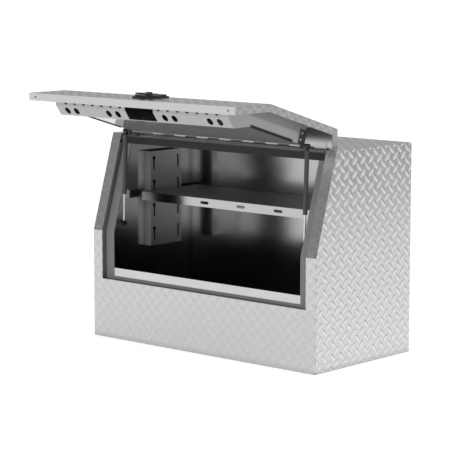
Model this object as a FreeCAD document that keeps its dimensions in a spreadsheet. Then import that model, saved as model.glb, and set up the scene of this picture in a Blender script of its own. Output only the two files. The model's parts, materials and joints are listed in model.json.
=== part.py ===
import FreeCAD, Part
import math
import os
import Sketcher

# Tray toolbox of aluminium tread plate with a lift-up front door on gas struts.
# Drawing frame: x = 0 on the middle plane, y = 0 on the front face, z = 0 on the ground, millimetres.
# Every sub-part is drawn there with the door shut, and its Placement moves y = 0 to the middle of the
# depth and swings the door's pieces open about the hinge.

SIZES = {
    # Carcass outline, plate gauge and edge folds
    "box_width": 1200,
    "box_depth": 600,
    "box_height": 850,
    "bend_height": 450,
    "top_setback": 120,
    "plate": 2.5,
    "floor_fold": 25,
    # Door opening: sill, posts, rebate and its flange
    "sill_height": 247,
    "sill_fold": 22,
    "post_width": 50,
    "rebate_depth": 25,
    "flange_width": 47,
    # Header behind the door's top and its edge trim
    "header_drop": 13,
    "header_reach": 62,
    "header_lip": 26,
    "header_end_gap": 15,
    "trim_thick": 3,
    "trim_inside": 12,
    # Flat rubber seal that the door's returns land on
    "side_seal_width": 44,
    "sill_seal_width": 12,
    "seal_thick": 2,
    "seal_inset": 1,
    "seal_clear": 0.5,
    # Piano hinge
    "hinge_setback": 192,
    "hinge_drop": 2,
    "knuckle_radius": 4.5,
    "knuckle_length": 62,
    "knuckle_gap": 0.4,
    "leaf_thick": 1.5,
    "leaf_width": 24,
    "pin_radius": 2.5,
    "running_clear": 0.05,
    # Door
    "door_open_angle": 90,
    "door_gap": 3,
    "door_bottom_gap": 6,
    "door_proud": 7,
    "drain_radius": 5,
    "drain_inset": 35,
    # Inner pan of the door
    "pan_sheet": 1.6,
    "pan_side_inset": 88,
    "pan_bottom_inset": 61,
    "pan_depth": 88,
    "pan_wall_depth": 48,
    "pan_facet_rise": 29,
    "pan_end_drop": 76,
    "pan_flange": 15,
    "pan_hole_radius": 10,
    "pan_hole_depth": 33,
    "pan_hole_first": 102,
    "pan_hole_pitch": 50,
    "pan_slot_radius": 13.5,
    "pan_slot_length": 33,
    "pan_slot_inner": 125,
    "pan_slot_outer": 355,
    "latch_cutout": 150,
    "edge_trim_width": 7,
    "edge_trim_thick": 2.5,
    # Latch
    "latch_rise": 122,
    "latch_plate_width": 112,
    "latch_plate_height": 108,
    "latch_plate_shift": 6,
    "latch_plate_thick": 6,
    "latch_step": 4,
    "latch_corner": 16,
    "spindle_radius": 8,
    "boss_radius": 12,
    "boss_clear": 0.3,
    "nut_radius": 18,
    "nut_thick": 5,
    "hub_radius": 15,
    "hub_thick": 1.7,
    "handle_lift": 6.5,
    "ear_thick": 4,
    "ear_radius": 4.5,
    "handle_pin_radius": 2.5,
    "paddle_root_width": 17,
    "paddle_thick": 5,
    "paddle_length": 46,
    "paddle_tail_width": 76,
    "paddle_tail_depth": 24,
    "cam_length": 92,
    "cam_width": 20,
    "cam_thick": 4,
    "keeper_thick": 1.5,
    "keeper_width": 80,
    "keeper_height": 30,
    "cam_clear": 0.5,
    "lock_radius": 9,
    "lock_rise": 34,
    "lock_depth": 22,
    "lock_proud": 3,
    # Gas struts and their brackets
    "strut_offset": 28,
    "strut_top_drop": 110.5,
    "strut_top_inset": 18.5,
    "strut_foot_setback": 66,
    "strut_foot_height": 482,
    "stud_radius": 4,
    "eye_radius": 9,
    "eye_width": 19,
    "neck_radius": 6,
    "neck_length": 8,
    "tube_radius": 9,
    "tube_wall": 1,
    "tube_end": 4,
    "tube_length": 265,
    "rod_radius": 4,
    "rod_length": 150,
    "guide_length": 12,
    "piston_length": 10,
    "bracket_thick": 3,
    "bracket_nose": 12,
    "bracket_base": 37,
    "bracket_height": 40,
    "bracket_forward": 25,
    "bracket_outward": 60,
    # Shelf and slotted uprights
    "upright_sheet": 2,
    "upright_stand": 37.5,
    "upright_front": 305,
    "upright_span": 191,
    "upright_bottom": 350,
    "upright_length": 407,
    "slot_start": 22,
    "slot_pitch": 101.5,
    "slot_length": 60,
    "slot_radius": 4.5,
    "keyhole_radius": 9,
    "slot_column_inset": 21,
    "shelf_sheet": 2,
    "shelf_front": 250,
    "shelf_lip": 36,
    "shelf_gap": 0.5,
    "shelf_peg_radius": 4,
    "shelf_peg_drop": 10.7,
    "shelf_peg_head": 7.5,
    "shelf_peg_clear": 0.3,
    "lip_slot_radius": 6,
    "lip_slot_length": 46,
    "lip_slot_pitch": 200,
    "deck_hole_radius": 4,
    "deck_hole_pitch": 200,
    "deck_hole_shift": 30,
    "deck_hole_inset": 100,
}
PAN_HOLES_A_SIDE = 7
SLOTS_IN_COLUMN = 4
SHELF_LEVEL = 2
LIP_SLOTS = 3
DECK_HOLES = 4
HOLE_FLATS = 12
FLAT_TO_CORNER = round(math.cos(math.pi / HOLE_FLATS), 6)
SLOT_END_FLATS = 5
EYE_FLATS = 18

doc = FreeCAD.newDocument("toolbox")
sheet = doc.addObject("Spreadsheet::Sheet", "Sheet")
for row, (alias, number) in enumerate(SIZES.items(), start=1):
    sheet.set(f"A{row}", alias)
    sheet.set(f"B{row}", str(number))
    sheet.setAlias(f"B{row}", alias)
doc.recompute()

sub_parts = []


class Formula:
    """A size as an expression on the sheet's cells, so that arithmetic on sizes stays bound to them."""

    def __init__(self, text):
        self.text = str(text)

    def joined(self, sign, other):
        return Formula(f"({self.text} {sign} {as_text(other)})")

    def __add__(self, other):
        return self.joined("+", other)

    def __sub__(self, other):
        return self.joined("-", other)

    def __mul__(self, other):
        return self.joined("*", other)

    def __truediv__(self, other):
        return self.joined("/", other)

    def __neg__(self):
        return Formula(f"(-1 * {self.text})")

    def __radd__(self, other):
        return Formula(other) + self

    def __rsub__(self, other):
        return Formula(other) - self

    def __rmul__(self, other):
        return Formula(other) * self


def as_text(size):
    return size.text if isinstance(size, Formula) else str(size)


def value(size):
    return float(sheet.evalExpression(as_text(size)))


def function(name, *sizes):
    return Formula(f"{name}({'; '.join(as_text(size) for size in sizes)})")


def cell(alias):
    return Formula(f"Sheet.{alias}")


def bind(thing, prop, size):
    thing.setExpression(prop, as_text(size))


# Sketches and features

def origin_feature(body, role):
    """One of the body's own planes or axes."""
    for feature in body.Origin.OriginFeatures:
        if feature.Role == role:
            return feature
    raise ValueError(role)


def side_sketch(body, name, x):
    """A sketch in the side view at x: its axes are y and z."""
    sketch = body.newObject("Sketcher::SketchObject", name)
    sketch.AttachmentSupport = [(origin_feature(body, "YZ_Plane"), "")]
    sketch.MapMode = "FlatFace"
    bind(sketch, "AttachmentOffset.Base.z", x)
    return sketch


def tilted_sketch(body, name, y, z, tilt):
    """A sketch about the point y, z, tilted about x: 0 is the plan view, 90 faces the front."""
    sketch = body.newObject("Sketcher::SketchObject", name)
    sketch.AttachmentSupport = [(origin_feature(body, "XY_Plane"), "")]
    sketch.MapMode = "FlatFace"
    turn = FreeCAD.Rotation(FreeCAD.Vector(1, 0, 0), value(tilt))
    sketch.AttachmentOffset = FreeCAD.Placement(FreeCAD.Vector(0, value(y), value(z)), turn)
    bind(sketch, "AttachmentOffset.Base.y", y)
    bind(sketch, "AttachmentOffset.Base.z", z)
    return sketch


def pin_point(sketch, geometry, position, u, v):
    for kind, size in (("DistanceX", u), ("DistanceY", v)):
        index = sketch.addConstraint(Sketcher.Constraint(kind, -1, 1, geometry, position, value(size)))
        bind(sketch, f"Constraints[{index}]", size)


def polygon(sketch, points):
    corners = [FreeCAD.Vector(value(u), value(v), 0) for u, v in points]
    first = sketch.GeometryCount
    count = len(points)
    for index in range(count):
        sketch.addGeometry(Part.LineSegment(corners[index], corners[(index + 1) % count]))
    for index in range(count):
        following = first + (index + 1) % count
        sketch.addConstraint(Sketcher.Constraint("Coincident", first + index, 2, following, 1))
    for index, (u, v) in enumerate(points):
        pin_point(sketch, first + index, 1, u, v)


def rectangle(sketch, u_low, u_high, v_low, v_high):
    polygon(sketch, [(u_low, v_low), (u_high, v_low), (u_high, v_high), (u_low, v_high)])


def bind_radius(sketch, geometry, radius):
    index = sketch.addConstraint(Sketcher.Constraint("Radius", geometry, value(radius)))
    bind(sketch, f"Constraints[{index}]", radius)


def circle(sketch, u, v, radius):
    centre = FreeCAD.Vector(value(u), value(v), 0)
    index = sketch.addGeometry(Part.Circle(centre, FreeCAD.Vector(0, 0, 1), value(radius)))
    pin_point(sketch, index, 3, u, v)
    bind_radius(sketch, index, radius)


def facets(u, v, radius, first, last, count):
    """Points on an arc about u, v from the first to the last angle, in degrees."""
    points = []
    for step in range(count + 1):
        angle = math.radians(first + (last - first) * step / count)
        points.append((u + radius * round(math.cos(angle), 6), v + radius * round(math.sin(angle), 6)))
    return points


def stamped_hole(sketch, u, v, radius):
    """A small round hole or rim, drawn with flats to keep the mesh light."""
    polygon(sketch, facets(u, v, radius, 0, 360, HOLE_FLATS)[:-1])


def upright_slot(sketch, u, v_low, v_high, radius):
    """A round-ended slot from v_low to v_high, the centres of its two ends, with flats on the ends."""
    polygon(sketch, facets(u, v_low, radius, 180, 360, SLOT_END_FLATS)
            + facets(u, v_high, radius, 0, 180, SLOT_END_FLATS))


def level_slot(sketch, u_low, u_high, v, radius):
    """A round-ended slot from u_low to u_high, the centres of its two ends, with flats on the ends."""
    polygon(sketch, facets(u_high, v, radius, -90, 90, SLOT_END_FLATS)
            + facets(u_low, v, radius, 90, 270, SLOT_END_FLATS))


def pad(body, sketch, length):
    feature = body.newObject("PartDesign::Pad", f"{sketch.Name}_pad")
    feature.Profile = sketch
    bind(feature, "Length", length)
    doc.recompute()
    return feature


def pocket(body, sketch, length, both_ways=False):
    """A cut away from the sketch's own normal, or half of it each way."""
    before = body.Shape.Volume
    feature = body.newObject("PartDesign::Pocket", f"{sketch.Name}_pocket")
    feature.Profile = sketch
    if both_ways:
        feature.SideType = "Symmetric"
    bind(feature, "Length", length)
    doc.recompute()
    if not body.Shape.Volume < before:
        raise ValueError(f"{body.Label}: {sketch.Name} cuts nothing")
    return feature


def bar(body, name, points, x_low, x_high):
    """A side-view outline carried along x."""
    sketch = side_sketch(body, name, x_low)
    polygon(sketch, points)
    return pad(body, sketch, x_high - x_low)


def bar_cut(body, name, points, x_low, x_high):
    sketch = side_sketch(body, name, x_high)
    polygon(sketch, points)
    return pocket(body, sketch, x_high - x_low)


def disc(body, name, y, z, radius, x_low, x_high):
    """A cylinder along x."""
    sketch = side_sketch(body, name, x_low)
    circle(sketch, y, z, radius)
    return pad(body, sketch, x_high - x_low)


def disc_cut(body, name, y, z, radius, x_low, x_high):
    sketch = side_sketch(body, name, x_high)
    circle(sketch, y, z, radius)
    return pocket(body, sketch, x_high - x_low)


def post_between(body, name, radius, z_low, z_high):
    """A cylinder along z on the body's own axis."""
    sketch = tilted_sketch(body, name, 0, z_low, 0)
    circle(sketch, 0, 0, radius)
    return pad(body, sketch, z_high - z_low)


def post_cut(body, name, radius, z_low, z_high):
    sketch = tilted_sketch(body, name, 0, z_high, 0)
    circle(sketch, 0, 0, radius)
    return pocket(body, sketch, z_high - z_low)


def round_edges(body, feature, radius, chosen):
    """Fillet the edges of a feature that a test on the edge picks out."""
    names = []
    for index, edge in enumerate(feature.Shape.Edges, start=1):
        if chosen(edge):
            names.append(f"Edge{index}")
    fillet = body.newObject("PartDesign::Fillet", f"{feature.Name}_fillet")
    fillet.Base = (feature, names)
    bind(fillet, "Radius", radius)
    doc.recompute()
    return fillet


def repeat_along_x(body, features, name, pitch, count):
    pattern = body.newObject("PartDesign::LinearPattern", name)
    pattern.Originals = features
    pattern.Direction = (origin_feature(body, "X_Axis"), [""])
    bind(pattern, "Length", pitch * (count - 1))
    bind(pattern, "Occurrences", count)
    body.Tip = pattern
    doc.recompute()
    return pattern


def is_along_y(edge):
    start, end = edge.Vertexes[0].Point, edge.Vertexes[-1].Point
    return abs(start.x - end.x) < 1e-6 and abs(start.z - end.z) < 1e-6 and abs(start.y - end.y) > 1e-6


# Driving sizes by name

box_width = cell("box_width")
box_depth = cell("box_depth")
box_height = cell("box_height")
plate = cell("plate")
half_width = box_width / 2
inner_width = half_width - plate
sill = cell("sill_height")
rebate = cell("rebate_depth")
jamb = half_width - cell("post_width")
flange_edge = jamb - cell("flange_width")

# The front leans back above the bend: offsets of that bent outline, by depth inward from the faces.
lean = cell("top_setback") / (box_height - cell("bend_height"))
lean_angle = function("atan", lean)
half_lean = function("tan", lean_angle / 2)


def bend_z(depth):
    return cell("bend_height") - depth * half_lean


def slope_y(depth, z):
    return depth + (z - bend_z(depth)) * lean


# Hinge, door and header levels
hinge_y = cell("hinge_setback")
hinge_z = box_height - cell("hinge_drop")
knuckle = cell("knuckle_radius")
leaf = cell("leaf_thick")
knuckle_gap = cell("knuckle_gap")
roof_edge = hinge_y + knuckle + knuckle_gap
ledge_z = box_height - cell("header_drop")
header_front = roof_edge - cell("header_reach")
header_bottom = ledge_z - cell("header_lip")
header_end = jamb - cell("header_end_gap")
trim = cell("trim_thick")
flange_top = header_bottom - trim - cell("seal_inset")

proud = cell("door_proud")
door_half = jamb - cell("door_gap")
door_bottom = sill + cell("door_bottom_gap")
door_top = hinge_z - knuckle + leaf + plate
door_back = hinge_y - knuckle - knuckle_gap
return_depth = rebate + proud - cell("seal_thick") - cell("seal_clear")
skin_inside = plate - proud

# Placements

FRONT = -(box_depth / 2)
open_angle = cell("door_open_angle")
open_cos = function("cos", open_angle)
open_sin = function("sin", open_angle)


def opened(y, z):
    """Where a point of the shut door lies with the door open, in the drawing frame."""
    return (hinge_y + (y - hinge_y) * open_cos + (z - hinge_z) * open_sin,
            hinge_z - (y - hinge_y) * open_sin + (z - hinge_z) * open_cos)


def place_fixed(thing):
    bind(thing, "Placement.Base.y", FRONT)


def place_turned(thing, x, y, z, angle):
    thing.Placement = FreeCAD.Placement(FreeCAD.Vector(), FreeCAD.Rotation(FreeCAD.Vector(1, 0, 0), 1))
    bind(thing, "Placement.Base.x", x)
    bind(thing, "Placement.Base.y", y)
    bind(thing, "Placement.Base.z", z)
    bind(thing, "Placement.Rotation.Angle", angle)


def place_on_door(thing):
    y, z = opened(Formula(0), Formula(0))
    place_turned(thing, 0, y + FRONT, z, -open_angle)


def new_body(label, place):
    body = doc.addObject("PartDesign::Body", label)
    body.Label = label
    place(body)
    sub_parts.append(body)
    return body


def sides():
    return (("left", -1), ("right", 1))


def span(side, near, far):
    """The x range from near to far off the middle plane, on the given side."""
    if side > 0:
        return near, far
    return -far, -near


# Carcass panels

def side_panel(name, side):
    body = new_body(f"{name}_side_panel", place_fixed)
    outline = [(0, 0), (box_depth, 0), (box_depth, box_height), (cell("top_setback"), box_height),
               (0, cell("bend_height"))]
    bar(body, f"{name}_side_outline", outline, *span(side, inner_width, half_width))


def front_panel():
    body = new_body("front_panel", place_fixed)
    bar(body, "front_outline", [(0, 0), (plate, 0), (plate, sill), (0, sill)], -inner_width, inner_width)


def back_panel():
    body = new_body("back_panel", place_fixed)
    inside = box_depth - plate
    outline = [(inside, 0), (box_depth, 0), (box_depth, box_height), (inside, box_height)]
    bar(body, "back_outline", outline, -inner_width, inner_width)


def floor_panel():
    body = new_body("floor_panel", place_fixed)
    fold = cell("floor_fold")
    back = box_depth - plate
    outline = [(plate, 0), (back, 0), (back, fold), (back - plate, fold), (back - plate, plate),
               (plate * 2, plate), (plate * 2, fold), (plate, fold)]
    bar(body, "floor_outline", outline, -inner_width, inner_width)


def roof_panel():
    body = new_body("roof_panel", place_fixed)
    under = box_height - plate
    back = box_depth - plate
    bar(body, "roof_sheet", [(roof_edge, under), (back, under), (back, box_height), (roof_edge, box_height)],
        -inner_width, inner_width)
    bar(body, "roof_turned_edge",
        [(roof_edge, ledge_z), (roof_edge + plate, ledge_z), (roof_edge + plate, box_height),
         (roof_edge, box_height)], -jamb, jamb)
    tab = [(slope_y(Formula(0), under), under), (roof_edge + plate, under), (roof_edge + plate, box_height),
           (cell("top_setback"), box_height)]
    for name, side in sides():
        bar(body, f"roof_{name}_tab", tab, *span(side, jamb, inner_width))


def door_post(name, side):
    body = new_body(f"{name}_door_post", place_fixed)
    under = box_height - plate
    no_depth = Formula(0)
    back = rebate + plate
    face = [(0, sill), (plate, sill), (plate, bend_z(plate)), (slope_y(plate, under), under),
            (slope_y(no_depth, under), under), (0, cell("bend_height"))]
    bar(body, f"{name}_post_face", face, *span(side, jamb, inner_width))
    cheek = [(0, sill), (back, sill), (back, bend_z(back)), (slope_y(back, flange_top), flange_top),
             (roof_edge + plate, flange_top), (roof_edge + plate, under), (slope_y(no_depth, under), under),
             (0, cell("bend_height"))]
    bar(body, f"{name}_post_jamb", cheek, *span(side, jamb, jamb + plate))
    flange = [(rebate, sill), (back, sill), (back, bend_z(back)), (slope_y(back, flange_top), flange_top),
              (slope_y(rebate, flange_top), flange_top), (rebate, bend_z(rebate))]
    bar(body, f"{name}_post_flange", flange, *span(side, flange_edge, jamb + plate))


def sill_rail():
    body = new_body("sill_rail", place_fixed)
    back = rebate + plate
    ledge = [(plate, sill), (plate, sill - cell("sill_fold")), (plate * 2, sill - cell("sill_fold")),
             (plate * 2, sill - plate), (back, sill - plate), (back, sill)]
    bar(body, "sill_ledge", ledge, -inner_width, inner_width)
    lip_top = sill + cell("flange_width")
    bar(body, "sill_lip", [(rebate, sill - plate), (back, sill - plate), (back, lip_top), (rebate, lip_top)],
        -flange_edge, flange_edge)


def header_rail():
    body = new_body("header_rail", place_fixed)
    up = roof_edge + plate
    under = box_height - plate
    outline = [(header_front, ledge_z), (header_front, header_bottom), (header_front + plate, header_bottom),
               (header_front + plate, ledge_z - plate), (up + plate, ledge_z - plate), (up + plate, under),
               (up, under), (up, ledge_z)]
    bar(body, "header_outline", outline, -header_end, header_end)


def header_edge_trim():
    body = new_body("header_edge_trim", place_fixed)
    bottom = header_bottom - trim
    inside = header_front + plate
    outline = [(header_front - trim, ledge_z), (header_front - trim, bottom), (inside + trim, bottom),
               (inside + trim, header_bottom + cell("trim_inside")),
               (inside, header_bottom + cell("trim_inside")), (inside, header_bottom),
               (header_front, header_bottom), (header_front, ledge_z)]
    bar(body, "header_trim_outline", outline, -header_end, header_end)


def side_seal(name, side):
    body = new_body(f"{name}_door_seal", place_fixed)
    front = rebate - cell("seal_thick")
    outline = [(front, sill), (rebate, sill), (rebate, bend_z(rebate)),
               (slope_y(rebate, flange_top), flange_top), (slope_y(front, flange_top), flange_top),
               (front, bend_z(front))]
    outer = jamb - cell("seal_inset")
    bar(body, f"{name}_seal_outline", outline, *span(side, outer - cell("side_seal_width"), outer))


def sill_seal():
    body = new_body("sill_door_seal", place_fixed)
    front = rebate - cell("seal_thick")
    low = sill + cell("seal_inset")
    high = low + cell("sill_seal_width")
    end = jamb - cell("seal_inset") - cell("side_seal_width")
    bar(body, "sill_seal_outline", [(front, low), (rebate, low), (rebate, high), (front, high)], -end, end)


def latch_keeper():
    body = new_body("latch_keeper", place_fixed)
    front = rebate + plate
    back = front + cell("keeper_thick")
    top = sill + cell("flange_width")
    low = top - cell("keeper_height")
    half = cell("keeper_width") / 2
    bar(body, "keeper_outline", [(front, low), (back, low), (back, top), (front, top)], -half, half)


# Piano hinge: each leaf carries every second knuckle

hinge_half = header_end
knuckle_length = cell("knuckle_length")
knuckle_pairs = function("floor", hinge_half / knuckle_length)
hinge_start = -(knuckle_pairs * knuckle_length)


def knuckles(body, tag, shift, tab):
    """Knuckles with their tabs, from one end of the hinge, one in every two places."""
    low = hinge_start + knuckle_length * shift + knuckle_gap / 2
    high = hinge_start + knuckle_length * (shift + 1) - knuckle_gap / 2
    tab_feature = bar(body, f"{tag}_tab", tab, low, high)
    sketch = side_sketch(body, f"{tag}_knuckle", low)
    stamped_hole(sketch, hinge_y, hinge_z, knuckle)
    stamped_hole(sketch, hinge_y, hinge_z, (cell("pin_radius") + cell("running_clear")) / FLAT_TO_CORNER)
    ring = pad(body, sketch, high - low)
    repeat_along_x(body, [tab_feature, ring], f"{tag}_row", knuckle_length * 2, knuckle_pairs)


def roof_hinge_leaf():
    body = new_body("roof_hinge_leaf", place_fixed)
    clear = hinge_z - knuckle - knuckle_gap
    front = roof_edge - leaf
    toe = roof_edge - cell("leaf_width")
    outline = [(toe, ledge_z), (roof_edge, ledge_z), (roof_edge, clear), (front, clear),
               (front, ledge_z + leaf), (toe, ledge_z + leaf)]
    bar(body, "roof_leaf_outline", outline, hinge_start, -hinge_start)
    tab = [(front, clear - leaf), (roof_edge, clear - leaf), (roof_edge, hinge_z), (front, hinge_z)]
    knuckles(body, "roof_leaf", 0, tab)


def door_hinge_leaf():
    body = new_body("door_hinge_leaf", place_on_door)
    low = hinge_z - knuckle
    high = low + leaf
    toe = door_back - cell("leaf_width")
    bar(body, "door_leaf_outline", [(toe, low), (door_back, low), (door_back, high), (toe, high)],
        hinge_start, -hinge_start)
    tab = [(door_back - leaf, low), (hinge_y, low), (hinge_y, high), (door_back - leaf, high)]
    knuckles(body, "door_leaf", 1, tab)


def hinge_pin():
    body = new_body("hinge_pin", place_fixed)
    disc(body, "hinge_pin_section", hinge_y, hinge_z, cell("pin_radius"), hinge_start, -hinge_start)


# Door

def door_corner(depth):
    """The corner between the door's slope and its top, at a depth inward from the skin's outside."""
    z = door_top - depth
    return slope_y(depth - proud, z), z


def door_bend(depth):
    return depth - proud, bend_z(depth - proud)


latch_z = door_bottom + cell("latch_rise")


def door_skin():
    body = new_body("door_skin", place_on_door)
    no_depth = Formula(0)
    outer = [(door_back, door_top), door_corner(no_depth), door_bend(no_depth), (-proud, door_bottom),
             (return_depth - proud, door_bottom), door_bend(return_depth), door_corner(return_depth),
             (door_back, door_top - return_depth)]
    bar(body, "skin_outline", outer, -door_half, door_half)
    past = return_depth + plate
    hollow = [(door_back + plate, door_top - plate), door_corner(plate), door_bend(plate),
              (skin_inside, door_bottom + plate), (past - proud, door_bottom + plate), door_bend(past),
              door_corner(past), (door_back + plate, door_top - past)]
    bar_cut(body, "skin_hollow", hollow, plate - door_half, door_half - plate)
    holes = tilted_sketch(body, "skin_latch_holes", -proud, latch_z, 90)
    circle(holes, 0, 0, cell("boss_radius") + cell("boss_clear"))
    circle(holes, 0, cell("lock_rise"), cell("lock_radius") + cell("boss_clear"))
    pocket(body, holes, plate * 4, both_ways=True)
    drains = tilted_sketch(body, "skin_drains", 0, door_bottom, 0)
    drain_x = door_half - cell("drain_inset")
    for side in (-1, 1):
        stamped_hole(drains, drain_x * side, return_depth / 2 - proud, cell("drain_radius"))
    pocket(body, drains, plate * 4, both_ways=True)


pan_sheet = cell("pan_sheet")
pan_half = door_half - cell("pan_side_inset")
pan_bottom = door_bottom + cell("pan_bottom_inset")
pan_depth = cell("pan_depth")
pan_wall = cell("pan_wall_depth")
facet_rise = cell("pan_facet_rise")
facet_angle = function("atan", facet_rise / (pan_depth - pan_wall))
lean_cos = function("cos", lean_angle)
lean_sin = function("sin", lean_angle)


def on_slope(depth, along):
    """A point at a depth inward from the sloping skin, and a distance down it from the pan's top end."""
    z = door_top - cell("pan_end_drop")
    y = slope_y(-proud, z)
    return y + depth * lean_cos - along * lean_sin, z - depth * lean_sin - along * lean_cos


def door_pan():
    body = new_body("door_pan", place_on_door)
    fold = facet_rise + pan_bottom
    outer = [(skin_inside, pan_bottom), (pan_wall - proud, pan_bottom), (pan_depth - proud, fold),
             door_bend(pan_depth), on_slope(pan_depth, 0), on_slope(plate, 0), door_bend(plate)]
    bar(body, "pan_outline", outer, -pan_half, pan_half)
    flange = cell("pan_flange")
    lap = plate + pan_sheet
    rim = [(skin_inside, pan_bottom - flange), (lap - proud, pan_bottom - flange), door_bend(lap),
           on_slope(lap, -flange), on_slope(plate, -flange), door_bend(plate)]
    bar(body, "pan_rim", rim, -pan_half - flange, pan_half + flange)
    deep = pan_depth - pan_sheet
    wall_shift = pan_sheet * function("tan", facet_angle / 2)
    fold_shift = pan_sheet * function("tan", Formula("45 deg") - facet_angle / 2)
    hollow = [(skin_inside - pan_sheet, pan_bottom + pan_sheet),
              (pan_wall - proud - wall_shift, pan_bottom + pan_sheet), (deep - proud, fold + fold_shift),
              door_bend(deep), on_slope(deep, pan_sheet), on_slope(plate - pan_sheet, pan_sheet),
              door_bend(plate - pan_sheet)]
    bar_cut(body, "pan_hollow", hollow, pan_sheet - pan_half, pan_half - pan_sheet)
    front = [(lap - proud, pan_bottom - pan_sheet), (pan_depth, pan_bottom - pan_sheet), (pan_depth, fold),
             (lap - proud, fold)]
    bar_cut(body, "pan_open_front", front, pan_sheet - pan_half, pan_half - pan_sheet)


def pan_strip(name, side):
    """The perforated front of the pan on one side of the latch: a wall off the skin and a slanting facet."""
    body = new_body(f"{name}_pan_strip", place_on_door)
    fold = facet_rise + pan_bottom
    root = plate + pan_sheet - proud
    wall_shift = pan_sheet * function("tan", facet_angle / 2)
    facet_end = pan_depth - proud - pan_sheet / function("sin", facet_angle)
    outline = [(root, pan_bottom), (pan_wall - proud, pan_bottom), (pan_depth - proud, fold),
               (facet_end, fold), (pan_wall - proud - wall_shift, pan_bottom + pan_sheet),
               (root, pan_bottom + pan_sheet)]
    near = cell("latch_cutout") / 2
    bar(body, f"{name}_strip_outline", outline, *span(side, near, pan_half - pan_sheet))
    holes = tilted_sketch(body, f"{name}_strip_holes", 0, pan_bottom, 0)
    for index in range(PAN_HOLES_A_SIDE):
        place = cell("pan_hole_first") + cell("pan_hole_pitch") * index
        stamped_hole(holes, place * side, cell("pan_hole_depth") - proud, cell("pan_hole_radius"))
    pocket(body, holes, pan_sheet * 4, both_ways=True)
    middle_y = (pan_wall + pan_depth) / 2 - proud
    slots = tilted_sketch(body, f"{name}_strip_slots", middle_y, pan_bottom + facet_rise / 2, facet_angle)
    bind(slots, "AttachmentOffset.Rotation.Angle", facet_angle)
    reach = cell("pan_slot_length") / 2 - cell("pan_slot_radius")
    for start in ("pan_slot_inner", "pan_slot_outer"):
        for index in (0, 1):
            place = cell(start) + cell("pan_hole_pitch") * index
            upright_slot(slots, place * side, -reach, reach, cell("pan_slot_radius"))
    pocket(body, slots, pan_sheet * 6, both_ways=True)


strut_top_y = hinge_y - cell("strut_top_inset")
strut_top_z = hinge_z - cell("strut_top_drop")
bracket = cell("bracket_thick")


def beside_strut_top(out, up):
    """A point of the shut door, by distances from the strut's top pivot towards the skin and up the slope."""
    return (strut_top_y - out * lean_cos + up * lean_sin, strut_top_z + out * lean_sin + up * lean_cos)


def pan_edge_trim(name, side):
    body = new_body(f"{name}_pan_edge_trim", place_on_door)
    inner = pan_depth - cell("edge_trim_width")
    end_along = cell("strut_top_drop") - cell("pan_end_drop") + cell("bracket_forward") + cell("bracket_nose")
    thick = cell("edge_trim_thick")
    under = pan_depth + thick
    leg = [door_bend(under), on_slope(under, end_along), on_slope(inner, end_along), door_bend(inner)]
    bar(body, f"{name}_edge_trim_leg", leg, *span(side, pan_half, pan_half + thick))
    lap = [door_bend(under), on_slope(under, end_along), on_slope(pan_depth, end_along), door_bend(pan_depth)]
    bar(body, f"{name}_edge_trim_lap", lap, *span(side, pan_half - cell("edge_trim_width"), pan_half + thick))


strut_x = pan_half + cell("strut_offset")
eye_half = cell("eye_width") / 2
stud = cell("stud_radius")
pivot_clear = cell("seal_clear")


def upper_strut_bracket(name, side):
    body = new_body(f"{name}_upper_strut_bracket", place_on_door)
    nose = cell("bracket_nose")
    forward = -cell("bracket_forward")
    outward = cell("bracket_outward")
    outline = [beside_strut_top(0, nose), beside_strut_top(outward, nose), beside_strut_top(outward, forward),
               beside_strut_top(0, forward)]
    low, high = span(side, pan_half, pan_half + bracket)
    bar(body, f"{name}_upper_plate", outline, low, high)
    disc(body, f"{name}_upper_nose", strut_top_y, strut_top_z, nose, low, high)
    end = strut_x + eye_half + bracket
    disc(body, f"{name}_upper_stud", strut_top_y, strut_top_z, stud, *span(side, pan_half, end))


def lower_strut_bracket(name, side):
    body = new_body(f"{name}_lower_strut_bracket", place_fixed)
    y = cell("strut_foot_setback")
    z = cell("strut_foot_height")
    half = cell("bracket_height") / 2
    front = rebate + plate
    back = front + bracket
    nose = cell("bracket_nose")
    base = [(slope_y(front, z - half), z - half), (slope_y(back, z - half), z - half),
            (slope_y(back, z + half), z + half), (slope_y(front, z + half), z + half)]
    bar(body, f"{name}_lower_base", base, *span(side, flange_edge, flange_edge + cell("bracket_base")))
    ear = [(slope_y(front, z - half), z - half), (y, z - nose), (y, z + nose),
           (slope_y(front, z + half), z + half)]
    low, high = span(side, flange_edge - bracket, flange_edge + bracket / 2)
    bar(body, f"{name}_lower_ear", base, low, high)
    bar(body, f"{name}_lower_arm", ear, *span(side, flange_edge - bracket, flange_edge))
    disc(body, f"{name}_lower_nose", y, z, nose, *span(side, flange_edge - bracket, flange_edge))
    disc(body, f"{name}_lower_stud", y, z, stud,
         *span(side, strut_x + eye_half + pivot_clear, flange_edge))


# Gas struts: drawn down from the upper pivot, along the axis to the lower one

top_open_y, top_open_z = opened(strut_top_y, strut_top_z)
foot_run = top_open_y - cell("strut_foot_setback")
foot_rise = top_open_z - cell("strut_foot_height")
strut_length = function("sqrt", foot_run * foot_run + foot_rise * foot_rise)
strut_lean = function("atan", foot_run / foot_rise)
tube_top = -(cell("eye_radius") + cell("neck_length"))
tube_foot = -cell("tube_length")
tube_bore = cell("tube_radius") - cell("tube_wall")
rod_top = cell("rod_length") - strut_length


def place_on_strut(side):
    def place(thing):
        place_turned(thing, strut_x * side, top_open_y + FRONT, top_open_z, -strut_lean)
    return place


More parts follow.
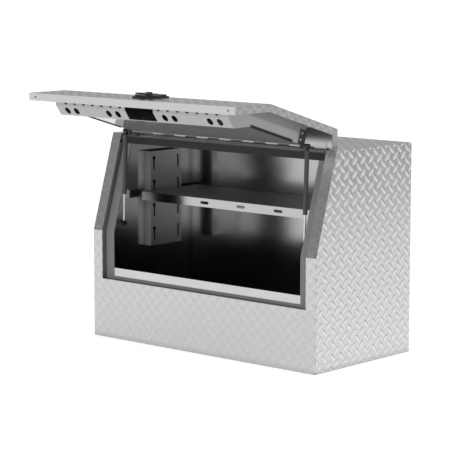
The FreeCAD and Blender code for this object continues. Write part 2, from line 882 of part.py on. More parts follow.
def strut_eye(label, side, z, neck_from, neck_to):
    body = new_body(label, place_on_strut(side))
    neck = cell("neck_radius")
    ring = facets(Formula(0), z, cell("eye_radius"), 0, 360, EYE_FLATS)[:-1]
    bar(body, f"{label}_ring", ring, -eye_half, eye_half)
    outline = [(-neck, neck_from), (neck, neck_from), (neck, neck_to), (-neck, neck_to)]
    bar(body, f"{label}_neck", outline, -neck, neck)
    disc_cut(body, f"{label}_bore", 0, z, stud + cell("running_clear"), -eye_half, eye_half)


def gas_strut(name, side):
    place = place_on_strut(side)
    strut_eye(f"{name}_strut_upper_eye", side, Formula(0), tube_top, -stud)
    tube = new_body(f"{name}_strut_tube", place)
    post_between(tube, f"{name}_tube_outside", cell("tube_radius"), tube_foot, tube_top)
    guide_top = tube_foot + cell("guide_length")
    post_cut(tube, f"{name}_tube_bore", tube_bore, guide_top, tube_top - cell("tube_end"))
    post_cut(tube, f"{name}_guide_bore", cell("rod_radius") + cell("running_clear"), tube_foot, guide_top)
    foot = -strut_length
    neck = foot + cell("eye_radius")
    strut_eye(f"{name}_strut_lower_eye", side, foot, foot + stud, neck)
    rod = new_body(f"{name}_strut_rod", place)
    post_between(rod, f"{name}_rod_section", cell("rod_radius"), neck, rod_top)
    piston = new_body(f"{name}_strut_piston", place)
    post_between(piston, f"{name}_piston_section", tube_bore - cell("running_clear"), rod_top,
                 rod_top + cell("piston_length"))


# Latch: drawn on the shut door's upright part, outward is towards the front

plate_face = -proud - cell("latch_plate_thick") * 2
pin_y = -proud - cell("latch_plate_thick") * 2 - cell("handle_lift")
keeper_back = rebate + plate + cell("keeper_thick")
cam_front = keeper_back + cell("cam_clear")
cam_back = cam_front + cell("cam_thick")


def front_pad(body, name, draw, y_front, y_back):
    """An outline in the front view about the latch's axis, carried from y_back forward to y_front."""
    sketch = tilted_sketch(body, name, y_back, latch_z, 90)
    draw(sketch)
    return pad(body, sketch, y_back - y_front)


def front_cut(body, name, draw, y_front, y_back):
    sketch = tilted_sketch(body, name, y_front, latch_z, 90)
    draw(sketch)
    return pocket(body, sketch, y_back - y_front)


def latch_plate():
    body = new_body("latch_plate", place_on_door)
    wide = cell("latch_plate_width") / 2
    tall = cell("latch_plate_height") / 2
    step = cell("latch_step")
    corner = cell("latch_corner")
    thick = cell("latch_plate_thick")
    shift = cell("latch_plate_shift")
    base = front_pad(body, "latch_base", lambda s: rectangle(s, -wide, wide, shift - tall, shift + tall),
                     -proud - thick, -proud)
    round_edges(body, base, corner, is_along_y)
    inner = wide - step
    low = shift - tall + step
    high = shift + tall - step
    outline = [(-inner, low + corner), (corner - inner, low), (inner - corner, low),
               (inner, low + corner), (inner, high - corner), (inner - corner, high),
               (corner - inner, high), (-inner, high - corner)]
    front_pad(body, "latch_raised", lambda s: polygon(s, outline), plate_face, -proud - thick)
    boss_back = skin_inside + cell("nut_thick")
    front_pad(body, "latch_boss", lambda s: circle(s, 0, 0, cell("boss_radius")), -proud, boss_back)
    bore = cell("spindle_radius") + cell("running_clear")
    front_cut(body, "latch_bore", lambda s: circle(s, 0, 0, bore), plate_face, boss_back)
    lock_bore = cell("lock_radius") + cell("running_clear")
    front_cut(body, "latch_lock_bore", lambda s: circle(s, 0, cell("lock_rise"), lock_bore),
              plate_face, -proud)


def latch_nut():
    body = new_body("latch_nut", place_on_door)

    def draw(sketch):
        polygon(sketch, facets(Formula(0), Formula(0), cell("nut_radius"), 0, 360, 6)[:-1])
        circle(sketch, 0, 0, cell("boss_radius") + cell("running_clear"))

    front_pad(body, "latch_nut_ring", draw, skin_inside, skin_inside + cell("nut_thick"))


def latch_spindle():
    body = new_body("latch_spindle", place_on_door)
    clear = cell("boss_clear")
    hub_back = plate_face - clear
    hub_front = hub_back - cell("hub_thick")
    front_pad(body, "spindle_hub", lambda s: circle(s, 0, 0, cell("hub_radius")), hub_front, hub_back)
    front_pad(body, "spindle_shaft", lambda s: circle(s, 0, 0, cell("spindle_radius")), hub_back, cam_front)
    near = cell("paddle_root_width") / 2 + clear
    far = near + cell("ear_thick")
    ear = cell("ear_radius")
    for name, side in sides():
        low, high = span(side, near, far)
        tip = pin_y - ear
        outline = [(hub_front, latch_z - ear), (hub_front, latch_z + ear), (pin_y, latch_z + ear),
                   (tip, latch_z + ear / 2), (tip, latch_z - ear / 2), (pin_y, latch_z - ear)]
        bar(body, f"spindle_{name}_ear", outline, low, high)
    pin_bore = facets(pin_y, latch_z, cell("handle_pin_radius") / FLAT_TO_CORNER, 0, 360, HOLE_FLATS)[:-1]
    bar_cut(body, "spindle_pin_bore", pin_bore, -far, far)


def latch_cam():
    body = new_body("latch_cam", place_on_door)
    half = cell("cam_width") / 2
    length = cell("cam_length")
    front_pad(body, "cam_round", lambda s: circle(s, 0, 0, half), cam_front, cam_back)
    front_pad(body, "cam_arm", lambda s: rectangle(s, -length, 0, -half, half), cam_front, cam_back)


def handle_pin():
    body = new_body("handle_pin", place_on_door)
    far = cell("paddle_root_width") / 2 + cell("boss_clear") + cell("ear_thick")
    disc(body, "handle_pin_section", pin_y, latch_z, cell("handle_pin_radius"), -far, far)


def latch_paddle():
    body = new_body("latch_paddle", place_on_door)
    thick = cell("paddle_thick")
    front = pin_y - thick / 2
    back = pin_y + thick / 2
    root = cell("paddle_root_width") / 2
    tail = cell("paddle_tail_width") / 2
    end = -cell("paddle_length")
    neck = end + cell("paddle_tail_depth")
    notch = cell("paddle_tail_depth") / 4
    tip = cell("paddle_tail_depth") * 0.6
    fluke = [(-root, 0), (-root, neck), (-tail, end + tip), (notch - tail, end), (-root, end + notch / 2),
             (0, end + notch), (root, end + notch / 2), (tail - notch, end), (tail, end + tip),
             (root, neck), (root, 0)]
    front_pad(body, "paddle_fluke", lambda s: polygon(s, fluke), front, back)
    disc(body, "paddle_root", pin_y, latch_z, cell("ear_radius") - cell("boss_clear"), -root, root)
    disc_cut(body, "paddle_bore", pin_y, latch_z, cell("handle_pin_radius") + cell("running_clear"),
             -root, root)


def lock_barrel():
    body = new_body("lock_barrel", place_on_door)
    front = plate_face - cell("lock_proud")
    front_pad(body, "lock_section", lambda s: circle(s, 0, cell("lock_rise"), cell("lock_radius")),
              front, front + cell("lock_depth"))


# Shelf and its uprights

upright_sheet = cell("upright_sheet")
web_x = inner_width - cell("upright_stand")
upright_front = cell("upright_front")
upright_back = upright_front + cell("upright_span")
slot_radius = cell("slot_radius")
front_column = upright_front + cell("slot_column_inset")
back_column = upright_back - cell("slot_column_inset")


def slot_bottom(level):
    return cell("upright_bottom") + cell("slot_start") + cell("slot_pitch") * level


def shelf_upright(name, side):
    body = new_body(f"{name}_shelf_upright", place_fixed)
    plan = tilted_sketch(body, f"{name}_upright_plan", 0, cell("upright_bottom"), 0)
    wall = inner_width * side
    web = web_x * side
    web_back = (web_x + upright_sheet) * side
    channel = [(web, upright_front), (wall, upright_front), (wall, upright_front + upright_sheet),
               (web_back, upright_front + upright_sheet), (web_back, upright_back - upright_sheet),
               (wall, upright_back - upright_sheet), (wall, upright_back), (web, upright_back)]
    polygon(plan, channel)
    pad(body, plan, cell("upright_length"))
    slots = side_sketch(body, f"{name}_upright_slots", web)
    keyholes = side_sketch(body, f"{name}_upright_keyholes", web)
    for level in range(SLOTS_IN_COLUMN):
        low = slot_bottom(level) + slot_radius
        high = slot_bottom(level) + cell("slot_length") - slot_radius
        for column in (front_column, back_column):
            upright_slot(slots, column, low, high, slot_radius)
        stamped_hole(keyholes, front_column, high - slot_radius, cell("keyhole_radius"))
    pocket(body, slots, upright_sheet * 4, both_ways=True)
    pocket(body, keyholes, upright_sheet * 4, both_ways=True)


peg = cell("shelf_peg_radius")
peg_z = slot_bottom(SHELF_LEVEL) + peg + cell("shelf_peg_clear")
shelf_top = peg_z + cell("shelf_peg_drop")
shelf_half = web_x - cell("shelf_gap")
shelf_front = cell("shelf_front")


def shelf_tray():
    body = new_body("shelf_tray", place_fixed)
    sheet_t = cell("shelf_sheet")
    back = box_depth - plate - cell("shelf_gap")
    bottom = shelf_top - cell("shelf_lip")
    block = tilted_sketch(body, "shelf_plan", 0, bottom, 0)
    rectangle(block, -shelf_half, shelf_half, shelf_front, back)
    pad(body, block, cell("shelf_lip"))
    under = tilted_sketch(body, "shelf_underside", 0, shelf_top - sheet_t, 0)
    inside = shelf_half - sheet_t
    rectangle(under, -inside, inside, shelf_front + sheet_t, back - sheet_t)
    pocket(body, under, cell("shelf_lip"))
    slots = tilted_sketch(body, "shelf_lip_slots", shelf_front, (shelf_top + bottom) / 2, 90)
    reach = cell("lip_slot_length") / 2 - cell("lip_slot_radius")
    for index in range(LIP_SLOTS):
        middle = cell("lip_slot_pitch") * (index - (LIP_SLOTS - 1) / 2)
        level_slot(slots, middle - reach, middle + reach, 0, cell("lip_slot_radius"))
    pocket(body, slots, sheet_t * 4, both_ways=True)
    holes = tilted_sketch(body, "shelf_deck_holes", 0, shelf_top, 0)
    for index in range(DECK_HOLES):
        place = cell("deck_hole_pitch") * (index - (DECK_HOLES - 1) / 2) - cell("deck_hole_shift")
        stamped_hole(holes, place, back - cell("deck_hole_inset"), cell("deck_hole_radius"))
    pocket(body, holes, sheet_t * 4, both_ways=True)


def shelf_pegs():
    """Headed pegs in the keyholes and plain pegs in the slots, all on the shelf's ends."""
    past_web = web_x + upright_sheet + cell("shelf_gap")
    end = past_web + cell("bracket_thick")
    pegs = []
    for name, side in sides():
        for row, column in (("front", front_column), ("back", back_column)):
            pegs.append(peg_bar(f"{name}_{row}_peg", side, column, peg, shelf_half, end))
        pegs.append(peg_bar(f"{name}_peg_head", side, front_column, cell("shelf_peg_head"), past_web, end))
    group = doc.addObject("Part::MultiFuse", "shelf_pegs")
    group.Label = "shelf_pegs"
    group.Shapes = pegs
    place_fixed(group)
    sub_parts.append(group)


def peg_bar(name, side, y, radius, near, far):
    pin = doc.addObject("Part::Prism", name)
    pin.Polygon = HOLE_FLATS
    quarter_turn = FreeCAD.Rotation(FreeCAD.Vector(0, 1, 0), 90)
    pin.Placement = FreeCAD.Placement(FreeCAD.Vector(), quarter_turn)
    low, high = span(side, near, far)
    bind(pin, "Circumradius", radius)
    bind(pin, "Height", high - low)
    bind(pin, "Placement.Base.x", low)
    bind(pin, "Placement.Base.y", y)
    bind(pin, "Placement.Base.z", peg_z)
    return pin


front_panel()
back_panel()
floor_panel()
roof_panel()
sill_rail()
header_rail()
header_edge_trim()
sill_seal()
latch_keeper()
roof_hinge_leaf()
hinge_pin()
door_skin()
door_pan()
door_hinge_leaf()
latch_plate()
latch_nut()
latch_spindle()
latch_cam()
handle_pin()
latch_paddle()
lock_barrel()
shelf_tray()
shelf_pegs()
for side_name, side_sign in sides():
    side_panel(side_name, side_sign)
    door_post(side_name, side_sign)
    side_seal(side_name, side_sign)
    pan_strip(side_name, side_sign)
    pan_edge_trim(side_name, side_sign)
    upper_strut_bracket(side_name, side_sign)
    lower_strut_bracket(side_name, side_sign)
    gas_strut(side_name, side_sign)
    shelf_upright(side_name, side_sign)

doc.recompute()
for thing in doc.Objects:
    if "Invalid" in thing.State or "Error" in thing.State:
        raise ValueError(f"{thing.Label} failed: {thing.State}")
for thing in sub_parts:
    if thing.Shape.isNull() or not thing.Shape.isValid():
        raise ValueError(f"{thing.Label} has no valid shape")

os.makedirs("parts", exist_ok=True)
for thing in sub_parts:
    thing.Shape.exportStep(f"parts/{thing.Label}.step")
    print(f"{thing.Label}: {len(thing.Shape.Solids)} solid(s), {thing.Shape.Volume:.0f} mm3")
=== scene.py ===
import json
import math

import bmesh
import bpy
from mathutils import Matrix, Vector


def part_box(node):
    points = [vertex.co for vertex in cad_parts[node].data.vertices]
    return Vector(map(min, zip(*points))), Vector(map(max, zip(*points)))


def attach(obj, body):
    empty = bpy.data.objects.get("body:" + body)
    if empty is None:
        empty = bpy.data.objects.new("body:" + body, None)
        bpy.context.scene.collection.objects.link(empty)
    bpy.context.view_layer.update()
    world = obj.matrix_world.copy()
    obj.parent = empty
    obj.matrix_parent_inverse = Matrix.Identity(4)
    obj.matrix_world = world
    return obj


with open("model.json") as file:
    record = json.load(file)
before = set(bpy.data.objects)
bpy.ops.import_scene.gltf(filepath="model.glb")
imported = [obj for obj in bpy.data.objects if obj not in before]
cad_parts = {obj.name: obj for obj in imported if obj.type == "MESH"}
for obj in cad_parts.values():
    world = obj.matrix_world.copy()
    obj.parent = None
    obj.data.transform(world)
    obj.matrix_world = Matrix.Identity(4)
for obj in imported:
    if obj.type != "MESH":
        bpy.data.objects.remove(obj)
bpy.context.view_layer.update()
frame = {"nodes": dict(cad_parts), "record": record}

NODES = frame["nodes"]
MM = 0.001
X, Y, Z = Vector((1, 0, 0)), Vector((0, 1, 0)), Vector((0, 0, 1))
panel_low, panel_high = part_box("right_side_panel")
WIDTH, DEPTH, HEIGHT = panel_high.x * 2, panel_high.y - panel_low.y, panel_high.z
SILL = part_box("front_panel")[1].z
pin_low, pin_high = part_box("hinge_pin")
HINGE_Y, HINGE_Z = (pin_low.y + pin_high.y) / 2, (pin_low.z + pin_high.z) / 2
# Sizes that the boxes of the nodes don't give: where the sides bend, how far the top is set back,
# how wide the posts are, where the roof's tread begins, and a point in the middle of the hollow
BEND, SETBACK = 0.450, 0.120
POST_WIDTH = 0.050
ROOF_FRONT = 0.200
BOX_MIDDLE = (0, 0.05, 0.40)


# Colours and shader nodes

def linear(hex_colour):
    """An sRGB hex colour as the linear values that shaders take."""
    channels = []
    for start in (1, 3, 5):
        value = int(hex_colour[start:start + 2], 16) / 255
        channels.append(value / 12.92 if value <= 0.04045 else ((value + 0.055) / 1.055) ** 2.4)
    return (*channels, 1.0)


def grey(value):
    return (value, value, value, 1.0)


def add(tree, kind, settings=None, inputs=None, links=None, stops=()):
    """Add a node: settings are its properties, inputs are values by socket, links are sockets to join.

    Stops are the positions and colours of a colour ramp, in which a number stands for a grey."""
    node = tree.nodes.new(kind)
    for key, value in (settings or {}).items():
        setattr(node, key, value)
    for key, value in (inputs or {}).items():
        node.inputs[key].default_value = value
    for key, source in (links or {}).items():
        tree.links.new(source, node.inputs[key])
    coloured = [(place, grey(tone) if isinstance(tone, float) else tone) for place, tone in stops]
    if coloured:
        elements = node.color_ramp.elements
        for element, (place, colour) in zip(elements, (coloured[0], coloured[-1])):
            element.position = place
            element.color = colour
        for place, colour in coloured[1:-1]:
            elements.new(place).color = colour
    return node


def new_material(name):
    material = bpy.data.materials.new(name)
    material.use_nodes = True
    tree = material.node_tree
    tree.nodes.clear()
    shader = add(tree, "ShaderNodeBsdfPrincipled")
    add(tree, "ShaderNodeOutputMaterial", links={"Surface": shader.outputs["BSDF"]})
    return material, tree, shader


def looks_inward(tree):
    """1 on faces of the box that look at its middle, below its top: the backs of the sheets inside the
    box, which get a darker colour as painted shade.
    """
    geometry = add(tree, "ShaderNodeNewGeometry").outputs
    arm = add(tree, "ShaderNodeVectorMath", {"operation": "SUBTRACT"}, {1: BOX_MIDDLE},
              {0: geometry["Position"]})
    outward = add(tree, "ShaderNodeVectorMath", {"operation": "DOT_PRODUCT"},
                  links={0: geometry["Normal"], 1: arm.outputs["Vector"]})
    inward = add(tree, "ShaderNodeMath", {"operation": "LESS_THAN"}, {1: 0.0},
                 {0: outward.outputs["Value"]})
    height = add(tree, "ShaderNodeSeparateXYZ", links={"Vector": geometry["Position"]})
    below = add(tree, "ShaderNodeMath", {"operation": "LESS_THAN"}, {1: HEIGHT}, {0: height.outputs["Z"]})
    both = add(tree, "ShaderNodeMath", {"operation": "MULTIPLY"},
               links={0: inward.outputs["Value"], 1: below.outputs["Value"]})
    return both.outputs["Value"]


# The part of a noise's range that a pattern is drawn over, patches of haze on bare metal, the width of
# the corners that get painted shade, how much smoother the sheltered backs of the sheets are, how
# sharply the painted highlight on a bar's ridge begins, which faces count as level, and the depth of fine
# relief
NOISE_LOW, NOISE_HIGH = 0.3, 0.7
HAZE_PATCH = 167 * MM
PAINTED_SHADE_REACH = 60 * MM
PAINTED_SHADE_TONES = ((0.0, 0.30), (0.7, 1.0))
BACK_SMOOTHING = 0.72
RIDGE_HIGHLIGHT = {"From Min": 0.45, "From Max": 0.85}
LEVEL_FACES = {"From Min": 0.6, "From Max": 0.9}
LINE_RELIEF = {"Strength": 0.02, "Distance": 0.1 * MM}
GRAIN_RELIEF = {"Strength": 0.1, "Distance": 0.1 * MM}


def sheet_metal(name, light, dark, shaded_back, rough_low, rough_high, line_mm, along, metallic=1.0, scuffed=None,
                ridge=None):
    """Bare metal sheet: rolling lines, patches of haze, and painted shade on its backs inside the box and
    in corners.

    Real rolling lines are finer; they are drawn a few tenths of a millimetre apart so that they show.
    A scuffed roughness, where given, is that of the faces that look up and carry things, and a ridge
    colour is a painted highlight on raised bars, on the corners that the mesh marks on their ridges."""
    material, tree, shader = new_material(name)
    place = add(tree, "ShaderNodeTexCoord").outputs["Object"]
    stretch = [1.0, 1.0, 1.0]
    stretch[along] = 0.02
    lined = add(tree, "ShaderNodeMapping", inputs={"Scale": stretch}, links={"Vector": place})
    lines = add(tree, "ShaderNodeTexNoise", inputs={"Scale": 1 / (line_mm * MM), "Detail": 2.0},
                links={"Vector": lined.outputs["Vector"]})
    haze = add(tree, "ShaderNodeTexNoise", inputs={"Scale": 1 / HAZE_PATCH, "Detail": 3.0},
               links={"Vector": place})
    mixed = add(tree, "ShaderNodeMix", {"data_type": "FLOAT"}, {"Factor": 0.5},
                {"A": lines.outputs["Fac"], "B": haze.outputs["Fac"]}).outputs["Result"]
    colour = add(tree, "ShaderNodeValToRGB", links={"Fac": mixed},
                 stops=((NOISE_LOW, linear(dark)), (NOISE_HIGH, linear(light))))
    # Painted shade: faces inside the box take the darker colour of the back
    inward = looks_inward(tree)
    sided = add(tree, "ShaderNodeMix", {"data_type": "RGBA"}, {"B": linear(shaded_back)},
                {"Factor": inward, "A": colour.outputs["Color"]})
    # Painted highlight: the marked ridges of raised bars take a lighter colour
    if ridge is not None:
        wear = add(tree, "ShaderNodeAttribute", {"attribute_name": "wear"}).outputs["Fac"]
        highlighted = add(tree, "ShaderNodeMapRange", inputs=RIDGE_HIGHLIGHT, links={"Value": wear})
        sided = add(tree, "ShaderNodeMix", {"data_type": "RGBA"}, {"B": linear(ridge)},
                    {"Factor": highlighted.outputs["Result"], "A": sided.outputs["Result"]})
    # Painted shade: the colour darkens in corners and between nearby parts, where shade falls
    nearby = add(tree, "ShaderNodeAmbientOcclusion", {"samples": 4}, {"Distance": PAINTED_SHADE_REACH})
    painted_shade = add(tree, "ShaderNodeValToRGB", links={"Fac": nearby.outputs["AO"]}, stops=PAINTED_SHADE_TONES)
    shaded_colour = add(tree, "ShaderNodeMix", {"data_type": "RGBA", "blend_type": "MULTIPLY"}, {"Factor": 1.0},
                 {"A": sided.outputs["Result"], "B": painted_shade.outputs["Color"]})
    gloss = add(tree, "ShaderNodeValToRGB", links={"Fac": mixed},
                stops=((NOISE_LOW, rough_low), (NOISE_HIGH, rough_high)))
    smoothing = add(tree, "ShaderNodeMapRange", inputs={"To Min": 1.0, "To Max": BACK_SMOOTHING},
                    links={"Value": inward})
    roughness = add(tree, "ShaderNodeMath", {"operation": "MULTIPLY"},
                    links={0: gloss.outputs["Color"], 1: smoothing.outputs["Result"]}).outputs["Value"]
    if scuffed is not None:
        normal = add(tree, "ShaderNodeNewGeometry").outputs["Normal"]
        upward = add(tree, "ShaderNodeSeparateXYZ", links={"Vector": normal}).outputs["Z"]
        level = add(tree, "ShaderNodeMapRange", inputs=LEVEL_FACES, links={"Value": upward})
        roughness = add(tree, "ShaderNodeMix", {"data_type": "FLOAT"}, {"B": scuffed},
                        {"Factor": level.outputs["Result"], "A": roughness}).outputs["Result"]
    tree.links.new(shaded_colour.outputs["Result"], shader.inputs["Base Color"])
    tree.links.new(roughness, shader.inputs["Roughness"])
    shader.inputs["Metallic"].default_value = metallic
    bump = add(tree, "ShaderNodeBump", inputs=LINE_RELIEF, links={"Height": lines.outputs["Fac"]})
    tree.links.new(bump.outputs["Normal"], shader.inputs["Normal"])
    return material


def moulded(name, light, dark, rough_low, rough_high, grain_mm):
    """Rubber, plastic or paint: a fine grain that breaks up colour, gloss and surface."""
    material, tree, shader = new_material(name)
    place = add(tree, "ShaderNodeTexCoord").outputs["Object"]
    grain = add(tree, "ShaderNodeTexNoise", inputs={"Scale": 1 / (grain_mm * MM), "Detail": 4.0},
                links={"Vector": place}).outputs["Fac"]
    colour = add(tree, "ShaderNodeValToRGB", links={"Fac": grain},
                 stops=((NOISE_LOW, linear(dark)), (NOISE_HIGH, linear(light))))
    gloss = add(tree, "ShaderNodeValToRGB", links={"Fac": grain},
                stops=((NOISE_LOW, rough_low), (NOISE_HIGH, rough_high)))
    tree.links.new(colour.outputs["Color"], shader.inputs["Base Color"])
    tree.links.new(gloss.outputs["Color"], shader.inputs["Roughness"])
    bump = add(tree, "ShaderNodeBump", inputs=GRAIN_RELIEF, links={"Height": grain})
    tree.links.new(bump.outputs["Normal"], shader.inputs["Normal"])
    return material


# Mill tread plate: bright, with a soft mirror image and faint rolling lines
tread_plate = sheet_metal("rolled aluminium tread plate",
                          "#cacaca", "#c3c3c3", "#b3b3b3", 0.20, 0.28, 0.6, 2)
# Bars of the sides, back, roof and door: dull flanks, and ridges painted lighter as a painted highlight
highlighted_bars = sheet_metal("rolled aluminium tread bars",
                        "#c8c8c8", "#c1c1c1", "#b3b3b3", 0.36, 0.44, 0.6, 2, ridge="#dedede")
# Low bars of the front, posts and door edges: duller than the plate, and without a painted highlight on
# their ridges
faint_bars = sheet_metal("shallow rolled aluminium tread bars",
                         "#cbcbcb", "#c4c4c4", "#b3b3b3", 0.30, 0.38, 0.6, 2)
# Mill sheet: a clearer mirror image, drawn out a little along the rolling lines
mill_sheet = sheet_metal("cold rolled aluminium sheet",
                         "#cccccc", "#c3c3c3", "#b0b0b0", 0.18, 0.26, 0.5, 0)
# Shelf: the same sheet, dulled on top by the tools that slide on it
shelf_sheet = sheet_metal("scuffed aluminium sheet",
                          "#bdbdbd", "#b4b4b4", "#9a9a9a", 0.14, 0.20, 0.5, 0, scuffed=0.5)
# Door pan: the same sheet with a milky oxide film, which scatters some light
pan_sheet = sheet_metal("oxidised aluminium sheet",
                        "#d5d5d5", "#cccccc", "#cccccc", 0.07, 0.12, 0.5, 0, 0.25)
# Uprights: the same sheet sanded before folding, so it shows light and shade but no mirror image
upright_sheet = sheet_metal("sanded aluminium sheet",
                            "#d5d5d5", "#cccccc", "#cacaca", 0.50, 0.60, 0.5, 2)
# Hinge stock: drawn strip, duller than the sheet
hinge_strip = sheet_metal("drawn aluminium hinge strip",
                          "#cccccc", "#bdbdbd", "#b6b6b6", 0.25, 0.35, 0.4, 0)
# Zinc plating: greyer, and a hazy mirror image
zinc_steel = sheet_metal("zinc plated pressed steel",
                         "#cbcbcb", "#b6b6b6", "#acacac", 0.28, 0.40, 0.8, 1)
# Chromed rod: a sharp mirror image
chrome_rod = sheet_metal("ground and chromed steel rod",
                         "#ededed", "#e3e3e3", "#e3e3e3", 0.06, 0.10, 0.3, 2)
# Lock barrel: warm grey turned metal
lock_metal = sheet_metal("turned nickelled brass",
                         "#cfc8b8", "#bdb5a2", "#bdb5a2", 0.22, 0.30, 0.3, 2)
# Strut tube: dark satin paint with a soft highlight
strut_paint = moulded("satin dark grey stoved paint", "#585858", "#4d4d4d", 0.30, 0.38, 1.5)
# Latch: black powder coat with a fine grain
black_coat = moulded("black powder coated steel", "#242424", "#1a1a1a", 0.32, 0.44, 0.8)
# Rubber trim: black, nearly without shine
black_rubber = moulded("extruded black rubber", "#2a2a2a", "#212121", 0.55, 0.70, 0.6)
# Seal strip: mid grey foam rubber, matt
seal_rubber = moulded("grey foam rubber strip", "#aeaeae", "#9e9e9e", 0.70, 0.85, 0.9)
# Strut ends: black moulded nylon, slightly glossy
black_nylon = moulded("black moulded nylon", "#212121", "#181818", 0.38, 0.50, 0.7)

SLOT_MATERIALS = {
    "tread_plate": tread_plate,
    "plain_sheet": mill_sheet,
    "zinc_steel": zinc_steel,
    "hinge_leaf": hinge_strip,
    "latch_coat": black_coat,
    "lock_metal": lock_metal,
    "black_rubber": black_rubber,
    "seal_rubber": seal_rubber,
    "strut_body": strut_paint,
    "strut_chrome": chrome_rod,
    "strut_plastic": black_nylon,
}
for part in frame["record"]["subparts"]:
    node = NODES[part["node"]]
    node.data.materials.clear()
    node.data.materials.append(SLOT_MATERIALS[part["material_slot"]])
for name in ("door_pan", "left_pan_strip", "right_pan_strip"):
    NODES[name].data.materials[0] = pan_sheet
NODES["shelf_tray"].data.materials[0] = shelf_sheet
for name in ("left_shelf_upright", "right_shelf_upright"):
    NODES[name].data.materials[0] = upright_sheet


# Tread plate: raised lens-shaped bars, each with its end towards the flank of a bar that lies across it

BAR_LENGTH = 50 * MM
BAR_WIDTH = 23 * MM
BAR_HEIGHT = 1.7 * MM
TOP_BAR_HEIGHT = 0.4 * MM
FRONT_BAR_HEIGHT = 0.6 * MM
SLOPE_BAR_HEIGHT = 0.3 * MM
RETURN_BAR_HEIGHT = 0.6 * MM
BAR_REPEAT = 52 * MM
BAR_STEPS = 6
EDGE_STRIP = 1 * MM
KEEP_OFF_REACH = 20 * MM


def lens(length, width):
    """Outline of a pointed lens along its own x, anticlockwise."""
    lower = []
    for step in range(BAR_STEPS):
        along = -1 + 2 * step / BAR_STEPS
        lower.append((along * length / 2, (along * along - 1) * width / 2))
    return lower + [(-x, -y) for x, y in lower]


# Rings of a bar from its foot up, as shares of its length, width and height
BAR_SHARES = ((1.0, 1.0, 0.0), (0.70, 0.34, 0.79), (0.62, 0.16, 1.0))
BAR_RINGS = [(lens(BAR_LENGTH * along, BAR_WIDTH * wide), level) for along, wide, level in BAR_SHARES]


def add_bar(mesh, wear, plane, centre, turn, height):
    """One domed bar on a plane, at a centre in the plane's own axes, turned by an angle.

    The corners on its ridge, up to its pointed ends, are marked for a painted highlight."""
    origin, across, up, normal = plane
    cos, sin = math.cos(turn), math.sin(turn)
    rings = []
    for outline, level in BAR_RINGS:
        ring = []
        for index, (x, y) in enumerate(outline):
            u = centre[0] + x * cos - y * sin
            v = centre[1] + x * sin + y * cos
            corner = mesh.verts.new(origin + across * u + up * v + normal * height * level)
            corner[wear] = 1.0 if level > 0 or index % BAR_STEPS == 0 else 0.0
            ring.append(corner)
        rings.append(ring)
    count = len(rings[0])
    for low, high in zip(rings, rings[1:]):
        for index in range(count):
            following = (index + 1) % count
            mesh.faces.new((low[index], low[following], high[following], high[index]))
    mesh.faces.new(rings[-1])


def inside(point, outline, margin):
    """Whether a point lies in a convex outline given anticlockwise, at least margin from every edge."""
    for index, start in enumerate(outline):
        end = outline[(index + 1) % len(outline)]
        edge = (end[0] - start[0], end[1] - start[1])
        gap = (edge[0] * (point[1] - start[1]) - edge[1] * (point[0] - start[0])) / math.hypot(*edge)
        if gap < margin:
            return False
    return True


def trim(mesh, plane, outline):
    """Cut off whatever lies outside a convex outline, and wall up the cut ends."""
    origin, across, up, normal = plane
    for index, start in enumerate(outline):
        end = outline[(index + 1) % len(outline)]
        edge = across * (end[0] - start[0]) + up * (end[1] - start[1])
        outward = edge.cross(normal).normalized()
        corner = origin + across * start[0] + up * start[1] - outward * EDGE_STRIP
        geometry = mesh.verts[:] + mesh.edges[:] + mesh.faces[:]
        cut = bmesh.ops.bisect_plane(mesh, geom=geometry, plane_co=corner, plane_no=outward,
                                     clear_outer=True)
        rim = [element for element in cut["geom_cut"] if isinstance(element, bmesh.types.BMEdge)]
        for line in rim:
            line.smooth = False
        for element in bmesh.ops.extrude_edge_only(mesh, edges=rim)["geom"]:
            if isinstance(element, bmesh.types.BMVert):
                element.co -= normal * normal.dot(element.co - origin)


def tread_field(name, body, origin, across, up, outline, height, keep_off=(), material=tread_plate):
    """Bars over a flat convex outline given in the plane's own axes, except on the patches to keep off."""
    plane = (origin, across, up, across.cross(up).normalized())
    mesh = bmesh.new()
    wear = mesh.verts.layers.float.new("wear")
    half = BAR_REPEAT / 2
    us = [u for u, v in outline]
    vs = [v for u, v in outline]
    columns = range(math.floor(min(us) / half), math.ceil(max(us) / half) + 1)
    rows = range(math.floor(min(vs) / half), math.ceil(max(vs) / half) + 1)
    for column in columns:
        for row in rows:
            centre = (column * half, row * half)
            if (column + row) % 2 or not inside(centre, outline, -BAR_LENGTH / 2):
                continue
            if any(inside(centre, patch, -KEEP_OFF_REACH) for patch in keep_off):
                continue
            add_bar(mesh, wear, plane, centre, math.pi / 4 if row % 2 else -math.pi / 4, height)
    trim(mesh, plane, outline)
    finish_mesh(name, mesh, body, material)


def finish_mesh(name, mesh, body, material, smooth=True):
    """Make a piece of a mesh, with its material and slot, that rides on a body."""
    data = bpy.data.meshes.new(name)
    mesh.to_mesh(data)
    mesh.free()
    for face in data.polygons:
        face.use_smooth = smooth
    data.materials.append(material)
    piece = bpy.data.objects.new(name, data)
    bpy.context.scene.collection.objects.link(piece)
    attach(piece, body)


def block(low_u, high_u, low_v, high_v):
    return [(low_u, low_v), (high_u, low_v), (high_u, high_v), (low_u, high_v)]


